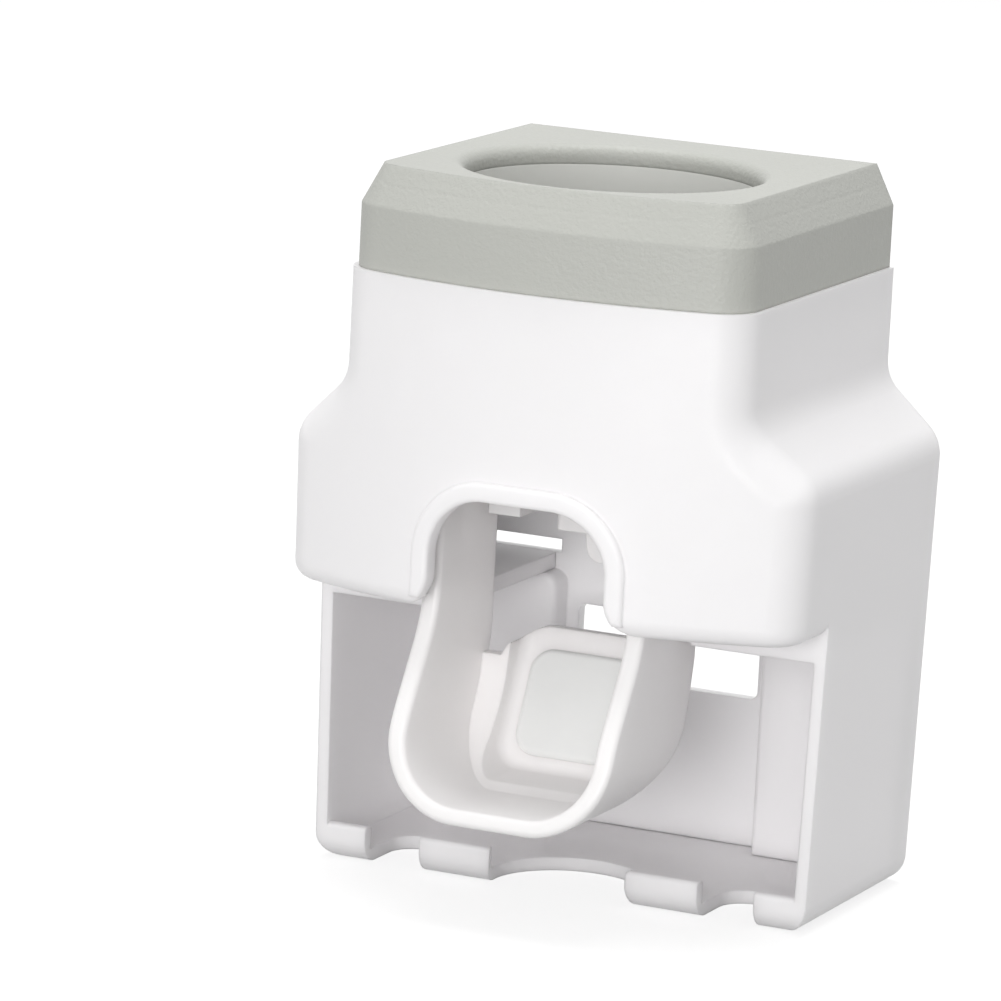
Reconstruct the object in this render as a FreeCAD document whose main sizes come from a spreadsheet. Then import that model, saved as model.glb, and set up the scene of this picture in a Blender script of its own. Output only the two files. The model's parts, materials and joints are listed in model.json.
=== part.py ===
import FreeCAD, Part
import math
import os

import Sketcher

Vector = FreeCAD.Vector
Rotation = FreeCAD.Rotation

doc = FreeCAD.newDocument("toothpaste_dispenser")
sheet = doc.addObject("Spreadsheet::Sheet", "dims")
sheet_rows = 0


class Size:
    # A length with the sheet expression that gives it.
    def __init__(self, value, text):
        self.value = value
        self.text = text

    def __add__(self, other):
        other = as_size(other)
        return Size(self.value + other.value, f"({self.text} + {other.text})")

    def __sub__(self, other):
        other = as_size(other)
        return Size(self.value - other.value, f"({self.text} - {other.text})")

    def __mul__(self, factor):
        factor = as_size(factor)
        return Size(self.value * factor.value, f"({self.text} * {factor.text})")

    def __truediv__(self, divisor):
        divisor = as_size(divisor)
        return Size(self.value / divisor.value, f"({self.text} / {divisor.text})")

    def __neg__(self):
        return Size(-self.value, f"(0 - {self.text})")


def as_size(number):
    return number if isinstance(number, Size) else Size(float(number), f"{float(number):.6f}")


def dim(alias, value):
    # Write one driving dimension into the sheet.
    global sheet_rows
    sheet_rows += 1
    sheet.set(f"A{sheet_rows}", alias)
    sheet.set(f"B{sheet_rows}", str(value))
    sheet.setAlias(f"B{sheet_rows}", alias)
    return Size(float(value), f"dims.{alias}")


# Housing: a bottle outline seen from the front, a bowed face seen from above
body_half = dim("body_half", 49.0)
base_taper = dim("base_taper", 1.8)
neck_half = dim("neck_half", 38.0)
neck_top = dim("neck_top", 110.5)
shoulder_top = dim("shoulder_top", 91.0)
shoulder_low = dim("shoulder_low", 81.0)
cover_low = dim("cover_low", 53.4)
depth = dim("depth", 72.0)
bow_radius = dim("bow_radius", 115.0)
lower_depth = dim("lower_depth", 47.0)
wall = dim("wall", 2.2)
shelf_low = dim("shelf_low", 48.5)
shelf_thick = dim("shelf_thick", 2.9)
base_thick = dim("base_thick", 2.4)
base_round = dim("base_round", 5.0)
edge_round = dim("edge_round", 8.0)
shoulder_round = dim("shoulder_round", 7.0)
cover_round = dim("cover_round", 3.2)

# Front window with its bead, and the slot that the lever swings in
window_half = dim("window_half", 16.6)
window_top = dim("window_top", 74.0)
window_round = dim("window_round", 10.5)
flare_round = dim("flare_round", 6.4)
bead_width = dim("bead_width", 3.4)
bead_proud = dim("bead_proud", 1.1)
swing_gap = dim("swing_gap", 1.8)

# Brush tray: a rolled front lip cut into hooks
hook_height = dim("hook_height", 6.6)
hook_thick = dim("hook_thick", 2.6)
hook_round = dim("hook_round", 4.2)
notch_width = dim("notch_width", 10.7)
notch_centre = dim("notch_centre", 32.2)
notch_depth = dim("notch_depth", 16.0)
scoop_radius = dim("scoop_radius", 14.0)
scoop_depth = dim("scoop_depth", 19.0)

# Back plate with a raised panel in each brush bay, a window and two slots
plate_thick = dim("plate_thick", 2.5)
plate_gap = dim("plate_gap", 0.15)
panel_inner = dim("panel_inner", 20.4)
panel_rise = dim("panel_rise", 5.3)
panel_round = dim("panel_round", 2.6)
panel_edge = dim("panel_edge", 1.0)
opening_half = dim("opening_half", 17.9)
opening_low = dim("opening_low", 29.6)
opening_top = dim("opening_top", 42.6)
opening_round = dim("opening_round", 1.5)
slot_inner = dim("slot_inner", 22.0)
slot_outer = dim("slot_outer", 38.0)
slot_height = dim("slot_height", 2.5)

# Collar and the sleeve that guides the tube
collar_step = dim("collar_step", 0.8)
collar_height = dim("collar_height", 18.1)
collar_wall = dim("collar_wall", 2.2)
collar_roof = dim("collar_roof", 3.4)
slope_inset = dim("slope_inset", 3.6)
slope_height = dim("slope_height", 7.0)
spigot_height = dim("spigot_height", 5.0)
spigot_wall = dim("spigot_wall", 1.6)
tube_radius = dim("tube_radius", 25.8)
tube_back = dim("tube_back", 38.5)
lip_round = dim("lip_round", 2.2)
sleeve_wall = dim("sleeve_wall", 1.5)
sleeve_drop = dim("sleeve_drop", 20.0)

# Push lever: two arms on an axle, a scooped cup and a brush recess
arm_inner = dim("arm_inner", 17.8)
arm_thick = dim("arm_thick", 3.4)
arm_front = dim("arm_front", 63.0)
arm_back = dim("arm_back", 40.5)
pivot_back = dim("pivot_back", 56.0)
pivot_height = dim("pivot_height", 92.0)
pivot_boss = dim("pivot_boss", 6.0)
cup_low = dim("cup_low", 18.0)
cup_floor = dim("cup_floor", 3.0)
cup_waist = dim("cup_waist", 34.0)
cup_corner = dim("cup_corner", 14.5)
cup_heel = dim("cup_heel", 26.0)
rake_round = dim("rake_round", 24.0)
rim_high = dim("rim_high", 52.0)
rim_mid_front = dim("rim_mid_front", 74.0)
rim_low_front = dim("rim_low_front", 78.0)
heel_back = dim("heel_back", 46.0)
cup_edge = dim("cup_edge", 41.0)
cup_edge_round = dim("cup_edge_round", 4.0)
recess_half = dim("recess_half", 12.8)
recess_wall = dim("recess_wall", 2.0)
recess_low = dim("recess_low", 22.0)
recess_top = dim("recess_top", 45.5)
recess_back = dim("recess_back", 47.0)
recess_lean = dim("recess_lean", 25.0)
recess_round = dim("recess_round", 4.5)
recess_edge = dim("recess_edge", 2.2)
crest_round = dim("crest_round", 7.0)
pad_half = dim("pad_half", 10.3)
pad_height = dim("pad_height", 19.4)
pad_thick = dim("pad_thick", 1.2)
pad_lift = dim("pad_lift", 2.6)

# Axle, bushes, retainers and ears
axle_radius = dim("axle_radius", 2.0)
bush_radius = dim("bush_radius", 3.5)
bush_flange = dim("bush_flange", 5.0)
bush_lip = dim("bush_lip", 0.8)
run_gap = dim("run_gap", 0.03)
side_gap = dim("side_gap", 0.3)
ear_thick = dim("ear_thick", 2.5)
ear_half = dim("ear_half", 6.5)
retainer_radius = dim("retainer_radius", 4.5)
retainer_thick = dim("retainer_thick", 0.8)
axle_end = dim("axle_end", 0.7)

# Return spring on the axle
wire = dim("wire", 0.9)
coil_radius = dim("coil_radius", 3.9)
coil_turns = dim("coil_turns", 4)
coil_pitch = dim("coil_pitch", 1.5)
spring_offset = dim("spring_offset", 1.2)
spring_leg = dim("spring_leg", 10.0)
stop_width = dim("stop_width", 5.0)

# Presser between the arms
presser_drop = dim("presser_drop", 4.0)
presser_reach = dim("presser_reach", 2.0)
presser_thick = dim("presser_thick", 2.6)
presser_stub = dim("presser_stub", 2.0)
presser_tip = dim("presser_tip", 4.2)
press_gap = dim("press_gap", 0.3)

# Pump cartridge
pump_half = dim("pump_half", 14.5)
pump_low = dim("pump_low", 72.0)
pump_height = dim("pump_height", 14.0)
pump_front = dim("pump_front", 47.0)
pump_rear = dim("pump_rear", 26.0)
pump_round = dim("pump_round", 2.0)
chamber_radius = dim("chamber_radius", 5.6)
chamber_length = dim("chamber_length", 14.0)
channel_radius = dim("channel_radius", 2.5)
dome_radius = dim("dome_radius", 5.4)
dome_height = dim("dome_height", 2.2)
film = dim("film", 0.9)
film_flange = dim("film_flange", 6.4)
ring_half = dim("ring_half", 10.0)
ring_thick = dim("ring_thick", 1.1)
plug_foot = dim("plug_foot", 8.0)
plug_depth = dim("plug_depth", 3.6)
plug_flange = dim("plug_flange", 10.0)
plug_height = dim("plug_height", 5.0)
plug_mouth = dim("plug_mouth", 6.2)
flap_radius = dim("flap_radius", 4.2)
flap_thick = dim("flap_thick", 0.8)
fit_gap = dim("fit_gap", 0.1)
outlet_back = dim("outlet_back", 36.6)
spout_half = dim("spout_half", 6.1)
spout_block = dim("spout_block", 7.7)
spout_deep = dim("spout_deep", 5.0)
spout_bore = dim("spout_bore", 3.0)
tongue_half = dim("tongue_half", 3.3)
tongue_drop = dim("tongue_drop", 6.6)
tongue_thick = dim("tongue_thick", 2.6)
beak_length = dim("beak_length", 5.0)
beak_tip = dim("beak_tip", 1.1)

# Cradle that carries the cartridge
rail_inner = dim("rail_inner", 9.6)
rail_outer = dim("rail_outer", 15.6)
rail_height = dim("rail_height", 4.8)
rail_reach = dim("rail_reach", 2.2)
guide_wall = dim("guide_wall", 1.4)
guide_height = dim("guide_height", 9.0)
cradle_wall = dim("cradle_wall", 2.0)
slide_gap = dim("slide_gap", 0.2)
post_radius = dim("post_radius", 3.5)
post_spread = dim("post_spread", 12.0)
post_inset = dim("post_inset", 4.2)

# Self-tapping screws with countersunk heads
screw_radius = dim("screw_radius", 1.4)
screw_length = dim("screw_length", 11.0)
head_radius = dim("head_radius", 2.7)
head_depth = dim("head_depth", 1.3)
screw_gap = dim("screw_gap", 0.15)
boss_size = dim("boss_size", 7.0)
boss_length = dim("boss_length", 12.5)
boss_high = dim("boss_high", 101.0)
boss_low = dim("boss_low", 61.0)
margin = dim("margin", 1.0)

collar_top = neck_top + collar_height
arm_outer = arm_inner + arm_thick
shelf_top = shelf_low + shelf_thick
base_half = body_half - base_taper
bow_centre = bow_radius - depth
press_height = pump_low + pump_height / 2
presser_low = press_height - presser_drop
presser_top = pivot_height - coil_radius - wire / 2 - press_gap
presser_face = pump_front + film + dome_height + press_gap + presser_reach


def bind(obj, prop, size):
    size = as_size(size)
    obj.setExpression(prop, size.text)


def place(obj, x=0, y=0, z=0, rotation=None):
    if rotation is not None:
        obj.Placement = FreeCAD.Placement(Vector(), rotation)
    bind(obj, "Placement.Base.x", x)
    bind(obj, "Placement.Base.y", y)
    bind(obj, "Placement.Base.z", z)


def new_body(name):
    body = doc.addObject("PartDesign::Body", name)
    body.Label = name
    return body


def new_sketch(body, name, role, lift=None):
    # Sketch on one of the body's own planes, lifted along the plane's normal.
    sketch = body.newObject("Sketcher::SketchObject", name)
    plane = next(f for f in body.Origin.OriginFeatures if f.Role == role)
    sketch.AttachmentSupport = [(plane, "")]
    sketch.MapMode = "FlatFace"
    if lift is not None:
        bind(sketch, "AttachmentOffset.Base.z", lift)
    return sketch


def fix_point(sketch, geometry, point, x, y):
    # Hold one sketch point at the two given sizes from the origin.
    for kind, size in (("DistanceX", as_size(x)), ("DistanceY", as_size(y))):
        index = sketch.addConstraint(
            Sketcher.Constraint(kind, -1, 1, geometry, point, size.value)
        )
        sketch.setExpression(f"Constraints[{index}]", size.text)


def add_polygon(sketch, corners):
    corners = [(as_size(x), as_size(y)) for x, y in corners]
    first = sketch.GeometryCount
    count = len(corners)
    for i in range(count):
        start, end = corners[i], corners[(i + 1) % count]
        sketch.addGeometry(
            Part.LineSegment(
                Vector(start[0].value, start[1].value, 0),
                Vector(end[0].value, end[1].value, 0),
            ),
            False,
        )
    for i in range(count):
        sketch.addConstraint(
            Sketcher.Constraint("Coincident", first + i, 2, first + (i + 1) % count, 1)
        )
    for i, (x, y) in enumerate(corners):
        fix_point(sketch, first + i, 1, x, y)


def add_circle(sketch, x, y, radius):
    x, y, radius = as_size(x), as_size(y), as_size(radius)
    index = sketch.addGeometry(
        Part.Circle(Vector(x.value, y.value, 0), Vector(0, 0, 1), radius.value), False
    )
    fix_point(sketch, index, 3, x, y)
    rule = sketch.addConstraint(Sketcher.Constraint("Radius", index, radius.value))
    sketch.setExpression(f"Constraints[{rule}]", radius.text)


def polygon(body, name, role, corners, lift=None):
    sketch = new_sketch(body, name, role, lift)
    add_polygon(sketch, corners)
    return sketch


def pad(body, sketch, length, symmetric=False, back=False):
    feature = body.newObject("PartDesign::Pad", f"{sketch.Name}_pad")
    feature.Profile = sketch
    feature.SideType = "Symmetric" if symmetric else "One side"
    feature.Reversed = back
    bind(feature, "Length", length)
    doc.recompute()
    return feature


def pocket(body, sketch, length, symmetric=False, back=False):
    # Cut the sketch out of the body, and make sure that it did cut.
    before = body.Shape.Volume
    feature = body.newObject("PartDesign::Pocket", f"{sketch.Name}_pocket")
    feature.Profile = sketch
    feature.Type = "Length"
    feature.SideType = "Symmetric" if symmetric else "One side"
    feature.Reversed = back
    bind(feature, "Length", length)
    doc.recompute()
    if body.Shape.Volume >= before:
        raise RuntimeError(f"{feature.Name} cut nothing")
    return feature


def edge_names(shape, test):
    return [f"Edge{i + 1}" for i, edge in enumerate(shape.Edges) if test(edge)]


def fillet(body, name, radius, test):
    base = body.Tip
    names = edge_names(base.Shape, test)
    if not names:
        raise RuntimeError(f"{name} finds no edge")
    feature = body.newObject("PartDesign::Fillet", name)
    feature.Base = (base, names)
    bind(feature, "Radius", radius)
    doc.recompute()
    return feature


def close_to(a, b, room=0.05):
    return abs(a - as_size(b).value) < room


def runs_along(edge, axis):
    # True for a straight edge along one axis, such as "Y".
    if not isinstance(edge.Curve, Part.Line):
        return False
    return abs(getattr(edge.Curve.Direction, axis.lower())) > 0.999


def flat_at(edge, axis, size, room=0.05):
    # True for an edge that lies in the plane axis = size.
    low = getattr(edge.BoundBox, f"{axis}Min")
    high = getattr(edge.BoundBox, f"{axis}Max")
    return close_to(low, size, room) and close_to(high, size, room)


def box(name, x, y, z):
    # Block between pairs of sizes along X, Y and Z.
    block = doc.addObject("Part::Box", name)
    bind(block, "Length", as_size(x[1]) - x[0])
    bind(block, "Width", as_size(y[1]) - y[0])
    bind(block, "Height", as_size(z[1]) - z[0])
    place(block, x[0], y[0], z[0])
    return block


TURN = {
    "Z": Rotation(),
    "X": Rotation(Vector(0, 1, 0), 90),
    "-Y": Rotation(Vector(1, 0, 0), 90),
}


def cylinder(name, radius, length, x=0, y=0, z=0, axis="Z"):
    rod = doc.addObject("Part::Cylinder", name)
    bind(rod, "Radius", radius)
    bind(rod, "Height", length)
    place(rod, x, y, z, TURN[axis])
    return rod


def cone(name, start_radius, end_radius, length, x=0, y=0, z=0, axis="Z"):
    taper = doc.addObject("Part::Cone", name)
    bind(taper, "Radius1", start_radius)
    bind(taper, "Radius2", end_radius)
    bind(taper, "Height", length)
    place(taper, x, y, z, TURN[axis])
    return taper


def cut(name, base, *tools):
    for i, tool in enumerate(tools):
        step = doc.addObject("Part::Cut", name if i == len(tools) - 1 else f"{name}_step{i}")
        step.Base = base
        step.Tool = tool
        step.Refine = True
        base = step
    doc.recompute()
    return base


def fuse(name, *shapes):
    whole = doc.addObject("Part::MultiFuse", name)
    whole.Shapes = list(shapes)
    whole.Refine = True
    doc.recompute()
    return whole


def common(name, *shapes):
    shared = doc.addObject("Part::MultiCommon", name)
    shared.Shapes = list(shapes)
    doc.recompute()
    return shared


def group(name, *shapes):
    kit = doc.addObject("Part::Compound", name)
    kit.Links = list(shapes)
    doc.recompute()
    return kit


def soften(name, base, radius, test):
    # Round the edges of a boolean's result.
    doc.recompute()
    value = as_size(radius).value
    rounded = doc.addObject("Part::Fillet", name)
    rounded.Base = base
    rounded.Edges = [
        (i + 1, value, value) for i, edge in enumerate(base.Shape.Edges) if test(edge)
    ]
    doc.recompute()
    return rounded


subparts = []


def finish(obj, name):
    obj.Label = name
    subparts.append((name, obj))
    return obj


def bowed_plan(body, name, half, front, radius, back, lift):
    # Outline seen from above: straight back and sides, and a bowed front.
    half, front, radius, back = map(as_size, (half, front, radius, back))
    centre = radius - front
    side = centre.value - math.sqrt(radius.value**2 - half.value**2)
    lean = math.asin(half.value / radius.value)
    sketch = new_sketch(body, name, "XY_Plane", lift)
    corners = [
        Vector(half.value, side, 0),
        Vector(half.value, back.value, 0),
        Vector(-half.value, back.value, 0),
        Vector(-half.value, side, 0),
    ]
    for start, end in zip(corners, corners[1:]):
        sketch.addGeometry(Part.LineSegment(start, end), False)
    circle = Part.Circle(Vector(0, centre.value, 0), Vector(0, 0, 1), radius.value)
    bow_start = 1.5 * math.pi - lean
    sketch.addGeometry(Part.ArcOfCircle(circle, bow_start, bow_start + 2 * lean), False)
    joints = (("Coincident", 0, 2, 1, 1), ("Coincident", 1, 2, 2, 1))
    joints += (("Coincident", 2, 2, 3, 1), ("Coincident", 3, 2, 0, 1))
    for joint in joints:
        sketch.addConstraint(Sketcher.Constraint(*joint))
    fix_point(sketch, 1, 1, half, back)
    fix_point(sketch, 1, 2, -half, back)
    fix_point(sketch, 3, 3, 0, centre)
    sketch.addConstraint(Sketcher.Constraint("Vertical", 0))
    sketch.addConstraint(Sketcher.Constraint("Vertical", 2))
    rule = sketch.addConstraint(Sketcher.Constraint("Radius", 3, radius.value))
    sketch.setExpression(f"Constraints[{rule}]", radius.text)
    return sketch


def bottle_form(name, inset, low, top, back):
    # Bottle outline with a bowed front: neck, shoulders and wide lower part.
    inset, low, top = as_size(inset), as_size(low), as_size(top)
    body = new_body(name)
    plan = bowed_plan(
        body, f"{name}_plan", body_half - inset, depth - inset, bow_radius - inset, back, low
    )
    pad(body, plan, top - low)
    drop = inset * 0.4
    flank = [
        (neck_half - inset, top + margin),
        (neck_half - inset, shoulder_top - drop),
        (body_half - inset, shoulder_low - drop),
        (base_half - inset, 0),
        (base_half - inset, low - margin),
        (body_half + margin, low - margin),
        (body_half + margin, top + margin),
    ]
    flanks = new_sketch(body, f"{name}_flanks", "XZ_Plane")
    add_polygon(flanks, flank)
    add_polygon(flanks, [(-x, z) for x, z in flank])
    pocket(body, flanks, depth * 3, symmetric=True)
    fillet(
        body,
        f"{name}_neck_round",
        shoulder_round + inset,
        lambda e: runs_along(e, "Y") and close_to(e.CenterOfMass.z, shoulder_top - drop),
    )
    fillet(
        body,
        f"{name}_hip_round",
        shoulder_round - inset,
        lambda e: runs_along(e, "Y") and close_to(e.CenterOfMass.z, shoulder_low - drop),
    )

    def on_front(edge):
        # The edge runs up the bowed face and isn't part of its top or foot.
        spots = [edge.valueAt(p) for p in (edge.FirstParameter, edge.LastParameter)]
        reach = [math.hypot(s.x, s.y - bow_centre.value) for s in spots]
        rises = edge.BoundBox.ZLength > 0.5
        return rises and all(close_to(r, bow_radius - inset) for r in reach)

    fillet(body, f"{name}_edge_round", edge_round - inset, on_front)
    return body


def inner_half(height):
    # Half width between the side walls at one height below the shoulders.
    run = (body_half - base_half) * (as_size(height) / (shoulder_low - wall * 0.4))
    return base_half - wall + run


def window_form(name, grow, front, back):
    # Window outline grown by one size: rounded top corners and a flared foot.
    grow = as_size(grow)
    half = window_half + grow
    top = window_top + grow
    foot = half + flare_round * 2
    body = new_body(name)
    face = polygon(
        body,
        f"{name}_face",
        "XZ_Plane",
        [
            (-foot, cover_low - margin),
            (foot, cover_low - margin),
            (foot, cover_low),
            (half, cover_low),
            (half, top),
            (-half, top),
            (-half, cover_low),
            (-foot, cover_low),
        ],
        back,
    )
    pad(body, face, as_size(front) - back)
    fillet(
        body,
        f"{name}_corners",
        window_round + grow,
        lambda e: runs_along(e, "Y") and close_to(e.CenterOfMass.z, top),
    )
    fillet(
        body,
        f"{name}_flare",
        flare_round - grow,
        lambda e: runs_along(e, "Y")
        and close_to(e.CenterOfMass.z, cover_low)
        and close_to(abs(e.CenterOfMass.x), half),
    )
    return body


def bow_sag(half):
    # How far the bowed face falls back at one distance from the middle.
    half = as_size(half)
    fall = bow_radius.value - math.sqrt(bow_radius.value**2 - half.value**2)
    radius = bow_radius.text
    return Size(fall, f"({radius} - sqrt({radius} * {radius} - {half.text} * {half.text}))")


def housing_shell():
    # Outer moulding before its chamber is hollowed out.
    body = bottle_form("housing_form", 0, 0, neck_top, 0)
    under = polygon(
        body,
        "housing_under",
        "YZ_Plane",
        [
            (-lower_depth, -margin),
            (-lower_depth, cover_low),
            (-(depth + margin), cover_low),
            (-(depth + margin), -margin),
        ],
    )
    pocket(body, under, body_half * 3, symmetric=True)
    fillet(
        body,
        "housing_cover_round",
        cover_round,
        lambda e: flat_at(e, "Z", cover_low) and e.BoundBox.YMin < -lower_depth.value - 0.5,
    )
    foot = inner_half(base_thick)
    head = inner_half(shelf_low)
    niche = polygon(
        body,
        "housing_niche",
        "XZ_Plane",
        [
            (-foot, base_thick),
            (foot, base_thick),
            (head, shelf_low),
            (-head, shelf_low),
        ],
    )
    pocket(body, niche, depth * 3, symmetric=True)
    lip = polygon(
        body,
        "housing_lip",
        "YZ_Plane",
        [
            (-lower_depth, 0),
            (-(lower_depth - hook_thick), 0),
            (-(lower_depth - hook_thick), hook_height),
            (-lower_depth, hook_height),
        ],
    )
    pad(body, lip, (base_half - wall / 2) * 2, symmetric=True)
    fillet(
        body,
        "housing_lip_foot",
        hook_round,
        lambda e: runs_along(e, "X") and flat_at(e, "Z", 0) and flat_at(e, "Y", -lower_depth),
    )
    fillet(
        body,
        "housing_lip_top",
        hook_thick * 0.35,
        lambda e: runs_along(e, "X") and flat_at(e, "Z", hook_height),
    )
    notches = new_sketch(body, "housing_notches", "XY_Plane", -margin)
    reach = -(lower_depth + margin)
    for side in (1, -1):
        left = notch_centre * side - notch_width / 2
        right = notch_centre * side + notch_width / 2
        end = -(lower_depth - notch_depth)
        add_polygon(notches, [(left, reach), (right, reach), (right, end), (left, end)])
    pocket(body, notches, hook_height + margin * 2, back=True)
    fillet(
        body,
        "housing_notch_round",
        notch_width * 0.48,
        lambda e: runs_along(e, "Z")
        and close_to(e.CenterOfMass.y, -(lower_depth - notch_depth)),
    )
    scoop = new_sketch(body, "housing_scoop", "XY_Plane", -margin)
    add_circle(scoop, 0, -(lower_depth - scoop_depth + scoop_radius), scoop_radius)
    pocket(body, scoop, hook_height + margin * 2, back=True)
    return body


def base_corner(word, side):
    # What is cut away to round one lower corner of the base.
    centre = inner_half(base_round) + wall - base_round
    far = body_half + margin
    block = box(
        f"housing_corner_{word}_block",
        (centre, far) if side > 0 else (-far, -centre),
        (-depth, margin),
        (-margin, base_round),
    )
    rod = cylinder(
        f"housing_corner_{word}_rod",
        base_round,
        depth + margin * 3,
        centre * side,
        margin * 2,
        base_round,
        "-Y",
    )
    return cut(f"housing_corner_{word}", block, rod)


def screw_spots():
    # Back-plate screws, one in each inner corner of the chamber.
    upper = neck_half - wall - boss_size / 2 + margin * 0.5
    lower = inner_half(boss_low) - boss_size / 2 + margin * 0.5
    return [(upper, boss_high), (-upper, boss_high), (lower, boss_low), (-lower, boss_low)]


def post_spots():
    high = pump_low + pump_height - post_inset + margin * 2
    low = pump_low - rail_height + post_inset - margin * 0.5
    return [(post_spread * side, z) for z in (high, low) for side in (1, -1)]


def main_housing():
    shell = housing_shell()
    chamber = bottle_form("housing_chamber", wall, cover_low + wall, neck_top + margin, margin)
    shelf_half = inner_half(shelf_top)
    shelf_room = box(
        "housing_shelf_room",
        (-shelf_half, shelf_half),
        (-(lower_depth - wall), margin),
        (shelf_top, cover_low + wall + margin),
    )
    seat = bottle_form("housing_seat_form", wall, base_thick, neck_top + margin, margin)
    seat_zone = box(
        "housing_seat_zone",
        (-body_half, body_half),
        (-(plate_thick + plate_gap), margin * 2),
        (0, neck_top + margin * 2),
    )
    seat_cut = common("housing_seat", seat, seat_zone)
    swing_half = arm_outer + swing_gap
    swing = box(
        "housing_swing",
        (-swing_half, swing_half),
        (-(depth - wall - cover_round), 0),
        (shelf_low - margin, cover_low + wall + margin),
    )
    gate = window_form(
        "housing_gate", 0, depth + margin * 4, depth - wall - cover_round - margin * 2
    )
    bead_block = window_form(
        "housing_bead_block",
        bead_width,
        depth + margin * 4,
        depth - wall - bow_sag(window_half + bead_width),
    )
    bead_bow = cylinder(
        "housing_bead_bow",
        bow_radius + bead_proud,
        neck_top,
        0,
        bow_centre,
        cover_low + cover_round * 0.65,
    )
    bead_solid = common("housing_bead_solid", bead_block, bead_bow)
    corners = [base_corner("right", 1), base_corner("left", -1)]
    hollow = cut("housing_hollow", shell, chamber, shelf_room, seat_cut, swing, *corners)
    ears = []
    bosses = []
    ear_start = arm_outer + bush_lip + side_gap
    for side, word in ((1, "right"), (-1, "left")):
        inner = ear_start * side
        outer = (ear_start + ear_thick) * side
        ears.append(
            box(
                f"housing_ear_{word}",
                (inner, outer) if side > 0 else (outer, inner),
                (-(depth - wall - margin * 0.6), -(pivot_back - ear_half)),
                (pivot_height - ear_half, pivot_height + ear_half),
            )
        )
    for i, (x, z) in enumerate(screw_spots()):
        bosses.append(
            box(
                f"housing_boss_{i}",
                (x - boss_size / 2, x + boss_size / 2),
                (-(plate_thick + plate_gap + boss_length), -(plate_thick + plate_gap)),
                (z - boss_size / 2, z + boss_size / 2),
            )
        )
    stop_left = -(arm_inner - spring_offset)
    stop = box(
        "housing_spring_stop",
        (stop_left, stop_left + stop_width),
        (-(depth - wall - margin * 0.3), -(pivot_back + coil_radius + wire / 2)),
        (pivot_height + ear_half, pivot_height + ear_half + stop_width),
    )
    whole = fuse("housing_whole", hollow, bead_solid, *ears, *bosses, stop)
    framed = cut("housing_framed", whole, gate)
    bead = soften(
        "housing_bead",
        framed,
        bead_proud * 0.7,
        lambda e: on_bow(e, bow_radius + bead_proud),
    )
    axle_hole = cylinder(
        "housing_axle_hole",
        axle_radius,
        body_half * 2,
        -body_half,
        -pivot_back,
        pivot_height,
        "X",
    )
    hole_zone = box(
        "housing_hole_zone",
        (-(ear_start + ear_thick + margin), ear_start + ear_thick + margin),
        (-depth, 0),
        (0, neck_top),
    )
    ear_hole = common("housing_ear_hole", axle_hole, hole_zone)
    pilots = [
        cylinder(f"housing_pilot_{i}", screw_radius, screw_length, x, 0, z, "-Y")
        for i, (x, z) in enumerate(screw_spots())
    ]
    return cut("main_housing", bead, ear_hole, *pilots)


def on_bow(edge, radius):
    # True for an edge that lies on the upright cylinder of the bowed face.
    spots = [edge.valueAt(p) for p in (edge.FirstParameter, edge.LastParameter)]
    return all(
        close_to(math.hypot(s.x, s.y - bow_centre.value), radius) for s in spots
    )


def bay_panel(word, side):
    # Raised panel behind one brush bay, with its free corner and edges rounded.
    low = base_thick + plate_gap
    top = shelf_low - plate_gap
    body = new_body(f"plate_panel_{word}")
    face = polygon(
        body,
        f"plate_panel_{word}_face",
        "XZ_Plane",
        [
            (panel_inner * side, low),
            ((inner_half(low) - plate_gap) * side, low),
            ((inner_half(top) - plate_gap) * side, top),
            (panel_inner * side, top),
        ],
    )
    pad(body, face, plate_thick + panel_rise)
    fillet(
        body,
        f"plate_panel_{word}_corner",
        panel_round,
        lambda e: runs_along(e, "Y")
        and close_to(e.CenterOfMass.z, top)
        and close_to(e.CenterOfMass.x, panel_inner * side),
    )
    fillet(
        body,
        f"plate_panel_{word}_edge",
        panel_edge,
        lambda e: runs_along(e, "Z")
        and flat_at(e, "X", panel_inner * side)
        and flat_at(e, "Y", -(plate_thick + panel_rise)),
    )
    return body


def back_plate():
    plan = bottle_form(
        "plate_form", wall + plate_gap, base_thick + plate_gap, neck_top - plate_gap, margin
    )
    zone = box("plate_zone", (-body_half, body_half), (-plate_thick, 0), (0, neck_top))
    sheet_form = common("plate_sheet", plan, zone)
    panels = [bay_panel("right", 1), bay_panel("left", -1)]
    opening = new_body("plate_opening")
    opening_face = polygon(
        opening,
        "plate_opening_face",
        "XZ_Plane",
        [
            (-opening_half, opening_low),
            (opening_half, opening_low),
            (opening_half, opening_top),
            (-opening_half, opening_top),
        ],
        -margin,
    )
    pad(opening, opening_face, plate_thick + margin * 2)
    fillet(opening, "plate_opening_corners", opening_round, lambda e: runs_along(e, "Y"))
    far = inner_half(base_thick) - plate_gap - plate_thick
    near = panel_inner + plate_thick
    hollows = [
        box(
            f"plate_hollow_{i}",
            (near, far) if i else (-far, -near),
            (-panel_rise, margin),
            (base_thick + plate_gap + plate_thick, shelf_low - plate_gap - plate_thick),
        )
        for i in (0, 1)
    ]
    slots = [
        box(
            f"plate_slot_{i}",
            (slot_inner, slot_outer) if i else (-slot_outer, -slot_inner),
            (-(plate_thick + margin), margin),
            (shelf_top, shelf_top + slot_height),
        )
        for i in (0, 1)
    ]
    holes = []
    for i, (x, z) in enumerate(screw_spots() + post_spots()):
        holes.append(
            cylinder(
                f"plate_hole_{i}", screw_radius + screw_gap, plate_thick + margin, x, 0, z, "-Y"
            )
        )
        holes.append(
            cone(
                f"plate_sink_{i}",
                head_radius + screw_gap,
                screw_radius + screw_gap,
                head_depth,
                x,
                0,
                z,
                "-Y",
            )
        )
    body = fuse("plate_body", sheet_form, *panels)
    return cut("back_plate", body, *hollows, opening, *slots, *holes)


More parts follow.
